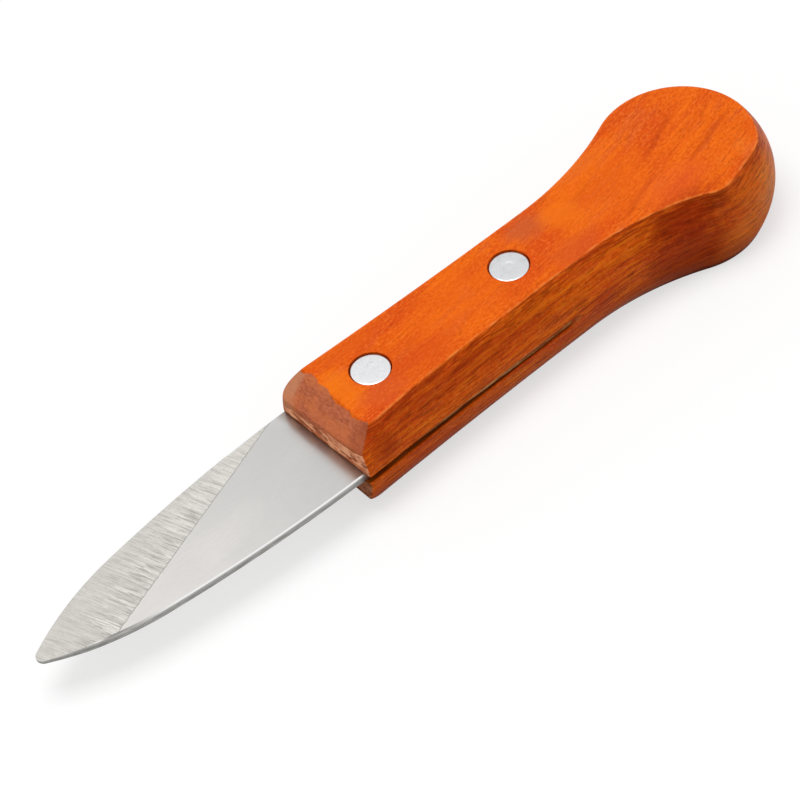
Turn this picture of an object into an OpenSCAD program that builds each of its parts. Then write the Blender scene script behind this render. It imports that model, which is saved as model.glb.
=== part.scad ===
// Oyster knife: a leaf-shaped steel blade whose full-width tang sits in a saw kerf
// in a one-piece wooden paddle handle, held by two two-piece compression rivets.
// Millimetres. X runs from the tip to the butt, Z up through the flat handle faces.
// The origin is the bottom centre of the whole knife, lying on its handle.

/* [Handle] */
// Length from the front end to the butt
handle_len = 99.2; // [92:0.2:115]
// Thickness between the two flat faces
handle_t = 18.2; // [15:0.1:20]
// Width at mid-thickness at the front end
front_w = 23.8; // [22:0.1:26]
// Width at mid-thickness where the neck curve starts
neck_w = 22; // [20:0.1:25]
// Distance from the front end to the start of the neck curve at mid-thickness
neck_from = 55; // [48:0.5:60]
// Radius of the round bulb at mid-thickness
bulb_r = 16; // [14.5:0.1:18]
// Width of the flat faces at the front end
face_front_w = 17.8; // [16:0.1:20]
// Width of the flat faces where their neck curve starts
face_neck_w = 15.5; // [14:0.1:18]
// Distance from the front end to the start of the neck curve of the flat faces
face_neck_from = 53; // [46:0.5:58]
// Radius of the round end of the flat faces
face_bulb_r = 14; // [12.5:0.1:15]
// How far the flat faces stop short of the butt
butt_round = 2.9; // [1:0.1:6]

/* [Front end of the handle] */
// How far the ground end facet reaches back along a flat face, on the centre line
facet_back = 4; // [2:0.1:6]
// Slope of the end facet from the flat face, in degrees
facet_slope = 46; // [35:1:60]
// Turn of the end facet about the vertical, in degrees
facet_skew = 3; // [0:1:10]
// How much the far front corner is eased across the width
corner_ease = 2; // [1:0.1:3]
// Angle of the eased corner from the front end, in degrees
corner_slope = 50; // [40:1:60]

/* [Blade] */
// Length of blade in front of the handle
blade_len = 60.8; // [50:0.2:75]
// Width of the blade where it enters the handle, and of the tang
blade_w = 21; // [18:0.1:22]
// Thickness of the blade and the tang
blade_t = 1.7; // [1.5:0.1:2.5]
// Radius of the long side curves
side_r = 305; // [220:5:400]
// Distance behind the tip where the point curve meets the side curve
point_len = 21; // [15:0.2:26]
// Radius of the nose of the tip
nose_r = 1.4; // [0.8:0.1:2]
// Width of the small chamfer round the spine and the tang
edge_chamfer = 0.3; // [0.1:0.05:0.4]
// Distance in front of the handle where the ground bevel starts on the edge
bevel_heel = 2.2; // [1:0.1:8]
// Distance behind the tip where the bevel line crosses the spine
bevel_cross = 11; // [8:0.1:16]
// Thickness left at the thinnest part of the ground edge
edge_t = 0.3; // [0.2:0.05:0.6]

/* [Tang and kerf] */
// Length of the tang inside the handle
tang_len = 47.2; // [44:0.2:52]
// Radius of the tang's rear corners
tang_corner_r = 3; // [1:0.5:5]
// Gap behind the tang before the kerf starts to close
kerf_end_gap = 0.3; // [0.2:0.1:1]
// Length over which the kerf closes
kerf_tail = 1.5; // [1:0.1:6]
// Height of the kerf where it ends
kerf_end_t = 0.3; // [0.2:0.1:0.6]

/* [Rivets] */
// Distance from the front end to the front rivet
front_rivet_at = 12; // [9:0.5:15]
// Distance from the rear rivet to the tang's end
rear_rivet_inset = 4; // [3.5:0.1:8]
// Diameter of the rivet heads
head_d = 7; // [6:0.1:8]
// Thickness of the rivet heads
head_t = 1.4; // [1:0.1:2]
// Bevel round the edge of a head
head_bevel = 0.2; // [0.1:0.05:0.3]
// How far the heads lie below the flat faces
head_recess = 0.2; // [0:0.05:0.4]
// Outer diameter of the hollow half
socket_d = 4.6; // [4:0.1:5]
// Diameter of the solid post and of the bore it is pressed into
post_d = 3; // [2.4:0.1:3.4]
// Diameter of the small punch mark in the middle of a head
mark_d = 1.8; // [1:0.1:2.5]
// Depth of that punch mark
mark_depth = 0.12; // [0.05:0.01:0.2]

/* [Clearances] */
// Radial clearance of a head in its counterbore
head_clearance = 0.2; // [0.05:0.05:0.4]
// Radial clearance of the hollow half in the wood
wood_clearance = 0.1; // [0.05:0.05:0.3]
// Radial clearance of the hollow half in the tang
tang_clearance = 0.15; // [0.05:0.05:0.3]
// Gap left at each end of the pressed joint inside a rivet
post_end_gap = 0.6; // [0.3:0.1:1]

/* [Hidden] */
$fn = 64;
// Steps along each curve of the handle's outlines
bulb_steps = 22;
neck_steps = 12;
flare_steps = 5;
// Steps from a flat face to mid-thickness
wall_steps = 6;
// Steps along each curve of the blade's outline
nose_steps = 6;
point_steps = 10;
side_steps = 16;
corner_steps = 8;

// The overall length is centred on the origin
front_x = (blade_len - handle_len) / 2;
tip_x = front_x - blade_len;
mid_z = handle_t / 2;
front_rivet_x = front_x + front_rivet_at;
tang_end_x = front_x + tang_len;
rear_rivet_x = tang_end_x - rear_rivet_inset;

// How far cutting shapes run past what they cut
past = 1;
// A cutting block larger than the knife
block = 200;

// Points on an arc from angle a0 to a1, in n steps
function arc(centre, r, a0, a1, n) =
    [for (i = [0:n]) let (a = a0 + (a1 - a0) * i / n) centre + r * [cos(a), sin(a)]];

// A list without its first item
function rest(list) = [for (i = [1:len(list) - 1]) list[i]];

// A closed outline from its far half, which starts on the X axis and ends off it.
// first is 1 to run along the far side first, or -1 to run along the near side first.
function closed(half, first) = concat(
    [for (p = half) [p[0], first * p[1]]],
    [for (i = [len(half) - 1:-1:1]) [half[i][0], -first * half[i][1]]]
);

// Half of a paddle from the butt: a round bulb, a hollow neck curve tangent to it, and a side
// that flares towards the front as a parabola
function half_paddle(w_front, w_neck, neck, r, bulb_x) =
    let (
        a = w_neck / 2,
        flare = (w_front - w_neck) / 2,
        run = bulb_x - (front_x + neck),
        neck_r = (run * run - r * r + a * a) / (2 * (r - a)),
        neck_centre = [front_x + neck, a + neck_r],
        meet = atan2(a + neck_r, -run)
    )
    concat(
        arc([bulb_x, 0], r, 0, meet, bulb_steps),
        rest(arc(neck_centre, neck_r, meet - 180, -90, neck_steps)),
        [for (i = [1:flare_steps])
            let (s = i / flare_steps)
            [front_x + neck * (1 - s), a + flare * s * s]]
    );

butt_x = front_x + handle_len;
mid_outline = closed(half_paddle(front_w, neck_w, neck_from, bulb_r, butt_x - bulb_r), 1);
face_outline = closed(
    half_paddle(face_front_w, face_neck_w, face_neck_from, face_bulb_r, butt_x - butt_round - face_bulb_r),
    1
);

// The side wall bulges from a flat face, at t = 0, to mid-thickness, at t = 1
function wall_ring(t) = face_outline + (mid_outline - face_outline) * t * (2 - t);

// A solid through a list of closed outlines of equal length, each with its own height
module stack(rings, heights) {
    n = len(rings[0]);
    m = len(rings);
    points = [for (j = [0:m - 1]) for (p = rings[j]) [p[0], p[1], heights[j]]];
    // Each end is a strip of flat pieces that run from side to side
    strip = concat([[0, 1, n - 1]], [for (i = [1:(n - 3) / 2]) [i, i + 1, n - i - 1, n - i]]);
    top = [for (f = strip) [for (i = [len(f) - 1:-1:0]) (m - 1) * n + f[i]]];
    sides = [for (j = [0:m - 2]) for (i = [0:n - 1])
        let (k = (i + 1) % n) [j * n + i, (j + 1) * n + i, (j + 1) * n + k, j * n + k]];
    polyhedron(points, concat(strip, top, sides), convexity = 6);
}

// The barrel-sided paddle before it is cut
module paddle() {
    shares = [for (j = [-wall_steps:wall_steps]) j / wall_steps];
    stack([for (s = shares) wall_ring(1 - abs(s))], [for (s = shares) mid_z * (1 + s)]);
}

// What is ground off the upper edge of the front end
module end_facet() {
    translate([front_x + facet_back, 0, handle_t])
        rotate([0, 0, -facet_skew])
            rotate([0, -facet_slope, 0])
                translate([-block, -block / 2, 0])
                    cube(block);
}

// What is taken off the far front corner, over the whole thickness
module corner_ease_cut() {
    translate([front_x, front_w / 2 - corner_ease, -past])
        rotate([0, 0, corner_slope])
            cube([block, block, handle_t + 2 * past]);
}

// The saw kerf, parallel along the tang and then closing to a fine end
module kerf() {
    tail_x = tang_end_x + kerf_end_gap;
    half_t = blade_t / 2;
    translate([0, block / 2, mid_z])
        rotate([90, 0, 0])
            linear_extrude(block)
                polygon([
                    [front_x - past, -half_t],
                    [tail_x, -half_t],
                    [tail_x + kerf_tail, -kerf_end_t / 2],
                    [tail_x + kerf_tail, kerf_end_t / 2],
                    [tail_x, half_t],
                    [front_x - past, half_t]
                ]);
}

// The stepped hole of one rivet through the wood
module rivet_hole(x) {
    seat = head_recess + head_t;
    counterbore_d = head_d + 2 * head_clearance;
    translate([x, 0, -past])
        cylinder(d = socket_d + 2 * wood_clearance, h = handle_t + 2 * past);
    translate([x, 0, handle_t - seat])
        cylinder(d = counterbore_d, h = seat + past);
    translate([x, 0, -past])
        cylinder(d = counterbore_d, h = seat + past);
}

module handle() {
    color([0.82, 0.33, 0.1])
        difference() {
            paddle();
            end_facet();
            translate([0, 0, handle_t])
                mirror([0, 0, 1])
                    end_facet();
            corner_ease_cut();
            kerf();
            rivet_hole(front_rivet_x);
            rivet_hole(rear_rivet_x);
        }
}

// Half width of the blade at a distance s behind the tip, along the long side curve
function side_half_w(s) = blade_w / 2 - side_r + sqrt(side_r * side_r - (blade_len - s) * (blade_len - s));

// Half of the blade and tang outline, from the nose to the tang's end, all of it convex
function half_blade() =
    let (
        half_w = blade_w / 2,
        side_centre = [front_x, half_w - side_r],
        meet = asin((blade_len - point_len) / side_r),
        along = [-sin(meet), cos(meet)],
        joint = side_centre + side_r * along,
        nose = [tip_x + nose_r, 0],
        gap = joint - nose,
        point_r = (gap * gap - nose_r * nose_r) / (2 * (gap * along - nose_r)),
        point_centre = joint - point_r * along,
        nose_way = nose - point_centre,
        nose_angle = atan2(nose_way[1], nose_way[0]),
        corner = [tang_end_x - tang_corner_r, half_w - tang_corner_r]
    )
    concat(
        arc(nose, nose_r, 180, nose_angle, nose_steps),
        rest(arc(point_centre, point_r, nose_angle, 90 + meet, point_steps)),
        rest(arc(side_centre, side_r, 90 + meet, 90, side_steps)),
        arc(corner, tang_corner_r, 90, 0, corner_steps)
    );

// The same half outline moved inwards by c
function shifted_in(half, c) =
    [for (i = [0:len(half) - 1])
        let (
            a = half[max(i - 1, 0)],
            b = half[min(i + 1, len(half) - 1)],
            way = i == 0 ? [0, 1] : b - a,
            across = [way[1], -way[0]] / norm(way)
        )
        half[i] + c * across];

function blade_ring(c) = closed(shifted_in(half_blade(), c), -1);

// Blade and tang as one plate, with a small chamfer round both faces
module plate() {
    z0 = mid_z - blade_t / 2;
    z1 = mid_z + blade_t / 2;
    rings = [blade_ring(edge_chamfer), blade_ring(0), blade_ring(0), blade_ring(edge_chamfer)];
    stack(rings, [z0, z0 + edge_chamfer, z1 - edge_chamfer, z1]);
}

// What is ground off the upper face, up to the straight bevel line
module bevel_cut() {
    heel = [front_x - bevel_heel, side_half_w(blade_len - bevel_heel)];
    cross_at = [tip_x + bevel_cross, -side_half_w(bevel_cross)];
    way = cross_at - heel;
    turn = atan2(way[1], way[0]);
    across = [way[1], -way[0]] / norm(way);
    reach = max([for (p = blade_ring(0)) (p - heel) * across]);
    tilt = atan2((blade_t - edge_t) / 2, reach);
    translate([heel[0], heel[1], mid_z + blade_t / 2])
        rotate([0, 0, turn])
            rotate([tilt, 0, 0])
                translate([-block / 2, -block, 0])
                    cube(block);
}

// The tang hole of one rivet
module tang_hole(x) {
    translate([x, 0, mid_z - blade_t])
        cylinder(d = socket_d + 2 * tang_clearance, h = 2 * blade_t);
}

module blade() {
    color([0.78, 0.78, 0.77])
        difference() {
            plate();
            bevel_cut();
            translate([0, 0, handle_t])
                mirror([0, 0, 1])
                    bevel_cut();
            tang_hole(front_rivet_x);
            tang_hole(rear_rivet_x);
        }
}

// A flat rivet head with a bevelled rim, whose upper face is at z = 0
module rivet_head() {
    translate([0, 0, -head_t])
        cylinder(d = head_d, h = head_t - head_bevel);
    translate([0, 0, -head_bevel])
        cylinder(d1 = head_d, d2 = head_d - 2 * head_bevel, h = head_bevel);
}

// Height from one head's underside to the other's
grip = handle_t - 2 * (head_recess + head_t);

// The upper half of a rivet: a head with a solid post
module rivet_post(x) {
    color([0.86, 0.87, 0.88])
        translate([x, 0, handle_t - head_recess])
            difference() {
                union() {
                    rivet_head();
                    translate([0, 0, -head_t - grip + post_end_gap])
                        cylinder(d = post_d, h = grip - post_end_gap);
                }
                translate([0, 0, -mark_depth])
                    cylinder(d = mark_d, h = mark_depth + past);
            }
}

// The lower half of a rivet: a head with a hollow shank
module rivet_socket(x) {
    color([0.86, 0.87, 0.88])
        translate([x, 0, head_recess])
            difference() {
                union() {
                    mirror([0, 0, 1])
                        rivet_head();
                    translate([0, 0, head_t])
                        cylinder(d = socket_d, h = grip - post_end_gap);
                }
                translate([0, 0, head_t])
                    cylinder(d = post_d, h = grip + past);
            }
}

module front_rivet_post() { rivet_post(front_rivet_x); }
module front_rivet_socket() { rivet_socket(front_rivet_x); }
module rear_rivet_post() { rivet_post(rear_rivet_x); }
module rear_rivet_socket() { rivet_socket(rear_rivet_x); }

handle();
blade();
front_rivet_post();
front_rivet_socket();
rear_rivet_post();
rear_rivet_socket();
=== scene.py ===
"""The looks of the oyster knife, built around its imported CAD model.

The shape code works in millimetres, and new_object() turns its points into metres.
X runs from the tip to the butt, +Y is the side of the ground edge, and the knife lies on z = 0.
"""

import math

import bmesh
import bpy
import numpy as np
from mathutils import Matrix, Vector, noise


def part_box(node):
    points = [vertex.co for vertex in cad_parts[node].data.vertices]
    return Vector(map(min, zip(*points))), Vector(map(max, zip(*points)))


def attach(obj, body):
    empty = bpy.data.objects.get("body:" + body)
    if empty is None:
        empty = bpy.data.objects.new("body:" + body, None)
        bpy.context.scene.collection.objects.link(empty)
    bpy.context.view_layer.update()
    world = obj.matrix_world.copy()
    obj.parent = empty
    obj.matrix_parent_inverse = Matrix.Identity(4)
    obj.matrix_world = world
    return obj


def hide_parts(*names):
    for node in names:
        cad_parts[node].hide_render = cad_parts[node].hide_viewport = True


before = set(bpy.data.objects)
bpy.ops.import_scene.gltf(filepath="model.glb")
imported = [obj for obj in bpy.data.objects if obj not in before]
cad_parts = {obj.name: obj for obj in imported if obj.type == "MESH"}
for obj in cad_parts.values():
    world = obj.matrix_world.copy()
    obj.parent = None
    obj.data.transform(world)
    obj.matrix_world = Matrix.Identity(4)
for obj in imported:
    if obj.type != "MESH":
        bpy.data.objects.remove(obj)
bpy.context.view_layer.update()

MM = 0.001


def box_mm(node):
    """Lowest and highest corner of a CAD node, in millimetres."""
    low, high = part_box(node)
    return np.array(low) / MM, np.array(high) / MM


# Sizes and places that the frame gives
handle_low, handle_high = box_mm("handle")
blade_low, blade_high = box_mm("blade")
post_low, post_high = box_mm("front_rivet_post")
FRONT_X = handle_low[0]
BUTT_X = handle_high[0]
THICK = handle_high[2]
MID_Z = THICK / 2
TIP_X = blade_low[0]
TANG_END_X = blade_high[0]
BLADE_LEN = FRONT_X - TIP_X
BLADE_W = blade_high[1] - blade_low[1]
BLADE_T = blade_high[2] - blade_low[2]
RIVET_X = {name: sum(box_mm(name + "_rivet_post"))[0] / 2 for name in ("front", "rear")}
HEAD_R = (post_high[0] - post_low[0]) / 2
HEAD_TOP = post_high[2]
POST_END = post_low[2]
SOCKET_END = box_mm("front_rivet_socket")[1][2]

# Handle sizes, as in the CAD source. Each outline has its widths at the front and at the neck, the
# length of its flare, the radius of its bulb and how far the bulb stops short of the butt.
MID_FORM = {"w_front": 23.8, "w_neck": 22.0, "neck": 55.0, "r": 16.0, "butt": 0.0}
FACE_FORM = {"w_front": 17.8, "w_neck": 15.5, "neck": 53.0, "r": 14.0, "butt": 2.9}
# The lower flat face is ground narrower than in the CAD source, where it mirrors the upper one
LOWER_FACE_FORM = FACE_FORM | {"w_front": 16.8, "w_neck": 14.5}
FACET_BACK = 4.0
FACET_SLOPE = math.radians(46)
FACET_SKEW = math.radians(3)
KERF_END_GAP = 0.3
KERF_TAIL = 1.5
KERF_END_T = 0.3

# Rounding of the worn edges of the wood, and of its front corners along and across the handle
ARRIS_IN = 0.15
ARRIS_DOWN = 0.3
# How far the lighter wear and painted highlight reach from an arris's crest
WEAR_AND_HIGHLIGHT_REACH = 0.3
FACET_BLEND = 0.3
NEAR_CORNER = (0.5, 0.5)
FAR_CORNER = (3.0, 2.3)

# The hand-ground near edge of the upper face: its bulge at the front, which fades in between two
# distances behind the front, and the waves at the bulb as (distance, half length, height)
FRONT_BULGE = 0.85
FRONT_BULGE_LEN = 9
FRONT_BULGE_FADE = (2.5, 6)
BULB_WAVES = [(79.5, 2.6, 0.75), (86.3, 3, -0.5), (92, 2, 0.25)]

# Blade sizes, as in the CAD source
SIDE_R = 305.0
POINT_LEN = 21.0
NOSE_R = 1.4
BEVEL_HEEL = 2.2
BEVEL_CROSS = 11.0
EDGE_T = 0.3

# Slightly smaller than in the CAD source: the chamfer shows finer and the tang's corners fuller
EDGE_CHAMFER = 0.22
TANG_CORNER_R = 1.2

# Ragged steps of the bevel line: waves per millimetre, place in the noise and height
BEVEL_RAGS = [(0.22, 3.1, 0.12), (1.7, 9.4, 0.1)]

# Rivet sizes, as in the CAD source
HEAD_T = 1.4
HEAD_RECESS = THICK - HEAD_TOP
SOCKET_R = 2.3
POST_R = 1.5
HEAD_GAP = 0.2
WOOD_GAP = 0.1
TANG_GAP = 0.15

# Rivet sizes that only the scene has. The crown breaks at a share of its radius and of its drop.
RIM_ROUND = 0.28
CROWN = 0.04
CROWN_BREAK = (0.6, 0.3)
POST_EASE = 0.3
MARK_R = 0.9
MARK_DEPTH = {"front": 0.01, "rear": 0.05}


def placed(name, data):
    """A new object of the scene."""
    obj = bpy.data.objects.new(name, data)
    bpy.context.scene.collection.objects.link(obj)
    return obj


def new_object(name, points, faces):
    """A mesh object from points in millimetres."""
    mesh = bpy.data.meshes.new(name)
    mesh.from_pydata([tuple(float(c) * MM for c in p) for p in points], [], [tuple(f) for f in faces])
    mesh.validate()
    return placed(name, mesh)


def tidy_mesh(obj, merge=0.002):
    """Merges doubled points, drops flattened faces and bare edges, and turns the faces outwards.

    merge is the greatest distance of doubled points, in millimetres.
    """
    bm = bmesh.new()
    bm.from_mesh(obj.data)
    bmesh.ops.remove_doubles(bm, verts=bm.verts, dist=merge * MM)
    bmesh.ops.dissolve_degenerate(bm, edges=bm.edges, dist=merge * MM / 2)
    bare = [edge for edge in bm.edges if not edge.link_faces]
    bmesh.ops.delete(bm, geom=bare, context="EDGES")
    bmesh.ops.recalc_face_normals(bm, faces=bm.faces)
    bm.to_mesh(obj.data)
    bm.free()


def cut(obj, *cutters):
    """Takes the cutters away from the object for good, and deletes them."""
    for cutter in cutters:
        modifier = obj.modifiers.new("cut", "BOOLEAN")
        modifier.operation = "DIFFERENCE"
        modifier.solver = "EXACT"
        modifier.object = cutter
    graph = bpy.context.evaluated_depsgraph_get()
    mesh = bpy.data.meshes.new_from_object(obj.evaluated_get(graph))
    obj.modifiers.clear()
    obj.data = mesh
    for cutter in cutters:
        bpy.data.objects.remove(cutter)


def shade(obj, sharp_angle=32):
    """Smooth shading that keeps corners sharper than an angle in degrees."""
    bm = bmesh.new()
    bm.from_mesh(obj.data)
    for face in bm.faces:
        face.smooth = True
    for edge in bm.edges:
        edge.smooth = len(edge.link_faces) == 2 and edge.calc_face_angle(0) < math.radians(sharp_angle)
    bm.to_mesh(obj.data)
    bm.free()
    weighted = obj.modifiers.new("weighted", "WEIGHTED_NORMAL")
    weighted.keep_sharp = True


def lathe(name, profile, x, segments=96):
    """A turned solid about a vertical axis, from a closed profile of (radius, height)."""
    points = []
    for k in range(segments):
        a = 2 * math.pi * k / segments
        points += [(x + r * math.cos(a), r * math.sin(a), z) for r, z in profile]
    n = len(profile)
    faces = []
    for k in range(segments):
        this = k * n
        after = (k + 1) % segments * n
        faces += [(this + i, this + (i + 1) % n, after + (i + 1) % n, after + i) for i in range(n)]
    obj = new_object(name, points, faces)
    tidy_mesh(obj)
    return obj


def smooth_min(a, b, k):
    """The smaller of two values, with the bend between them rounded over a width k."""
    h = np.maximum(k - np.abs(a - b), 0) / k
    return np.minimum(a, b) - h * h * k / 4


def bump(u, centre, width):
    """A smooth wave of height 1 about a centre."""
    return math.exp(-(((u - centre) / width) ** 2))


def ease(x, a, b):
    """A smooth step from 0 at a to 1 at b."""
    t = min(max((x - a) / (b - a), 0), 1)
    return t * t * (3 - 2 * t)


# Handle

# Columns round the bulb and the neck, then along the flare at distances behind the front
BULB_STEPS = 44
NECK_STEPS = 26
FLARE_U = list(np.linspace(50, 7.5, 22)) + list(np.arange(6.6, 2.95, -0.2))
NEAR_END_U = [2.6, 2.2, 1.8, 1.4, 1.0, 0.7, NEAR_CORNER[0]]

# Columns round the front corners, so that both sides have as many, and across the front
NEAR_ROUND_STEPS = 6
FAR_ROUND_STEPS = len(NEAR_END_U) + NEAR_ROUND_STEPS
CAP_STEPS = 26

# Points down a column, along the wall and over the worn arris
WALL_STEPS = 14
ROUND_STEPS = 4

# Rounds of the search for a column's height
HEIGHT_TRIES = 12


def half_outline(form, u_stations):
    """Half of one level's outline, from the butt to the front: rows of (x, half width).

    The arc of the neck touches the bulb and the end of the flare without a corner.
    """
    a = form["w_neck"] / 2
    flare = (form["w_front"] - form["w_neck"]) / 2
    r = form["r"]
    bulb_x = BUTT_X - form["butt"] - r
    run = bulb_x - (FRONT_X + form["neck"])
    neck_r = (run * run - r * r + a * a) / (2 * (r - a))
    meet = math.atan2(a + neck_r, -run)
    bulb = [(bulb_x + r * math.cos(t), r * math.sin(t)) for t in np.linspace(0, meet, BULB_STEPS)]
    turns = np.linspace(meet - math.pi, -math.pi / 2, NECK_STEPS)[1:]
    neck_x = FRONT_X + form["neck"]
    neck = [(neck_x + neck_r * math.cos(t), a + neck_r + neck_r * math.sin(t)) for t in turns]
    front = []
    for u in u_stations:
        s = 1 - u / FACE_FORM["neck"]
        front.append((FRONT_X + form["neck"] * (1 - s), a + flare * s * s))
    return np.array(bulb + neck + front)


def near_face_wear(u):
    """How far the hand-ground near edge of the flat face stands out from its smooth outline."""
    at_front = FRONT_BULGE * bump(u, 0, FRONT_BULGE_LEN) * ease(u, *FRONT_BULGE_FADE)
    at_bulb = sum(height * bump(u, centre, width) for centre, width, height in BULB_WAVES)
    return at_front + at_bulb


def facet_top(x, y):
    """Height of the upper surface of the handle, flat with the ground facet at the front."""
    back = (x - FRONT_X - FACET_BACK) * math.cos(FACET_SKEW) - y * math.sin(FACET_SKEW)
    return smooth_min(THICK + 0 * back, THICK + math.tan(FACET_SLOPE) * back, FACET_BLEND)


def wall_share(z):
    """How far the wall has bulged from the face outline to the one at mid-thickness."""
    t = 1 - np.abs(z / MID_Z - 1)
    return t * (2 - t)


def grown(outline, amount):
    """The outline with all but its first point moved outwards by amount(distance behind the front)."""
    way = np.gradient(outline, axis=0)
    way /= np.linalg.norm(way, axis=1)[:, None]
    amounts = np.array([amount(x - FRONT_X) for x in outline[:, 0]])
    moves = amounts[:, None] * np.stack([way[:, 1], -way[:, 0]], axis=1)
    moves[0] = 0
    return outline + moves


class Side:
    """One side wall of the handle as columns from the butt to the front line.

    sign is -1 for the near side and 1 for the far one.
    """

    def __init__(self, face_form, sign, u_stations, corner, round_steps, wear=None):
        self.face_w = face_form["w_front"]
        self.sign = sign
        self.corner = corner
        self.face = half_outline(face_form, FLARE_U + u_stations)
        self.mid = half_outline(MID_FORM, FLARE_U + u_stations)
        if wear:
            self.face = grown(self.face, wear)
        self.shares = np.linspace(0, 1, round_steps + 1)[1:]
        self.count = len(self.face) + round_steps

    def at(self, i, z):
        """Plan position (x, y) of column i at height z, the last columns being round the corner."""
        t = wall_share(z)
        if i < len(self.face):
            x, y = self.face[i] + (self.mid[i] - self.face[i]) * t
        else:
            q = self.shares[i - len(self.face)]
            start = self.face[-1] + (self.mid[-1] - self.face[-1]) * t
            front_w = self.face_w + (MID_FORM["w_front"] - self.face_w) * t
            tip = np.array([FRONT_X, front_w / 2])
            end = tip - [0, self.corner[1]]
            x, y = (1 - q) ** 2 * start + 2 * q * (1 - q) * tip + q * q * end
        return np.array([x, self.sign * y])


def top_height(place):
    """The height at which a column, given as place(z), meets the upper surface."""
    z = THICK
    for _ in range(HEIGHT_TRIES):
        z = float(facet_top(*place(z)))
    return z


def upper_column(place, inward):
    """Points down one column of the upper half, from the flat face over the worn arris."""
    z = top_height(place)
    x, y = place(z)
    crest = np.array([x, y, z])
    ax, ay = np.array([x, y]) + ARRIS_IN * inward
    inner = np.array([ax, ay, float(facet_top(ax, ay))])
    low_z = z - ARRIS_DOWN
    outer = np.array([*place(low_z), low_z])
    shares = np.linspace(0, 1, ROUND_STEPS + 1)
    points = [(1 - q) ** 2 * inner + 2 * q * (1 - q) * crest + q * q * outer for q in shares]
    for h in np.linspace(low_z, MID_Z, WALL_STEPS + 1)[1:]:
        points.append(np.array([*place(h), h]))
    return points


def column_places(near, far, last):
    """Places of the ring of columns: near side to the butt, far side, then along the front."""
    ring = [lambda z, i=i: near.at(i, z) for i in range(last, -1, -1)]
    ring += [lambda z, i=i: far.at(i, z) for i in range(1, last + 1)]
    for k in range(CAP_STEPS - 1, 0, -1):
        q = k / CAP_STEPS
        ring.append(lambda z, q=q: near.at(last, z) * (1 - q) + far.at(last, z) * q)
    return ring


def handle_shell(face_form, near_wear):
    """The ring of columns round the handle: points of the upper half of each, and its crest.

    The last number is the index of the last column of a side.
    """
    near = Side(face_form, -1, NEAR_END_U, NEAR_CORNER, NEAR_ROUND_STEPS, near_wear)
    far = Side(face_form, 1, [], FAR_CORNER, FAR_ROUND_STEPS)
    assert near.count == far.count
    last = near.count - 1
    places = column_places(near, far, last)
    n = len(places)
    heights = [top_height(place) for place in places]
    crests = np.array([[*place(z), z] for place, z in zip(places, heights)])
    columns = []
    for j, place in enumerate(places):
        along = (crests[(j + 1) % n] - crests[j - 1])[:2]
        inward = np.array([-along[1], along[0]]) / np.linalg.norm(along)
        columns.append(upper_column(place, inward))
    return np.array(columns), crests, last


def cover(points, columns, last, height, row, surface):
    """Faces that close the shell at one row of its columns, in a grid from the near to the far side.

    The inner points of the grid lie at surface(x, y) and are added to the points.
    """
    grid = []
    for i in range(last):
        a = (last - i) * height + row
        b = (last + i) * height + row
        line = [a]
        for k in range(1, CAP_STEPS):
            q = k / CAP_STEPS
            x, y = np.array(points[a][:2]) * (1 - q) + np.array(points[b][:2]) * q
            points.append(np.array([x, y, surface(x, y)]))
            line.append(len(points) - 1)
        grid.append(line + [b])
    across_front = range(2 * last + CAP_STEPS, 2 * last - 1, -1)
    grid.append([j % columns * height + row for j in across_front])
    faces = []
    for line, ahead in zip(grid, grid[1:]):
        for k in range(CAP_STEPS):
            faces.append((line[k], line[k + 1], ahead[k + 1], ahead[k]))
    return faces


def build_handle():
    """The handle before its cuts, and the crest lines of its arrises.

    Both halves meet at mid-thickness, and only the upper face has the hand-ground near edge.
    """
    upper, crests, last = handle_shell(FACE_FORM, near_face_wear)
    lower, lower_crests, _ = handle_shell(LOWER_FACE_FORM, None)
    lower = lower[:, ::-1][:, 1:]
    lower[:, :, 2] = THICK - lower[:, :, 2]
    lower_crests[:, 2] = THICK - lower_crests[:, 2]
    shell = np.concatenate([upper, lower], axis=1)
    columns, height = shell.shape[:2]
    points = [p for column in shell for p in column]
    faces = []
    for j in range(columns):
        a = j * height
        b = (j + 1) % columns * height
        faces += [(a + i, a + i + 1, b + i + 1, b + i) for i in range(height - 1)]
    faces += cover(points, columns, last, height, 0, facet_top)
    faces += cover(points, columns, last, height, height - 1, lambda x, y: THICK - facet_top(x, y))
    obj = new_object("wood_handle", points, faces)
    tidy_mesh(obj)
    return obj, np.concatenate([crests, lower_crests])


def kerf_cutter():
    """The saw kerf, parallel along the tang and then closing to a fine end."""
    before_front = FRONT_X - 2
    tail_x = TANG_END_X + KERF_END_GAP
    outline = [
        (before_front, -BLADE_T / 2),
        (tail_x, -BLADE_T / 2),
        (tail_x + KERF_TAIL, -KERF_END_T / 2),
        (tail_x + KERF_TAIL, KERF_END_T / 2),
        (tail_x, BLADE_T / 2),
        (before_front, BLADE_T / 2),
    ]
    reach = 40
    points = [(x, y, MID_Z + z) for y in (-reach, reach) for x, z in outline]
    n = len(outline)
    faces = [tuple(range(n)), tuple(range(2 * n - 1, n - 1, -1))]
    faces += [(i, i + n, (i + 1) % n + n, (i + 1) % n) for i in range(n)]
    obj = new_object("kerf_cutter", points, faces)
    tidy_mesh(obj)
    return obj


def rivet_hole_cutter(x):
    """A stepped hole with a counterbore at both ends."""
    seat = HEAD_RECESS + HEAD_T
    wide = HEAD_R + HEAD_GAP
    slim = SOCKET_R + WOOD_GAP
    below = -1
    above = THICK + 1
    profile = [
        (0, below), (wide, below), (wide, seat), (slim, seat),
        (slim, THICK - seat), (wide, THICK - seat), (wide, above), (0, above),
    ]
    return lathe("hole_cutter", profile, x)


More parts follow.
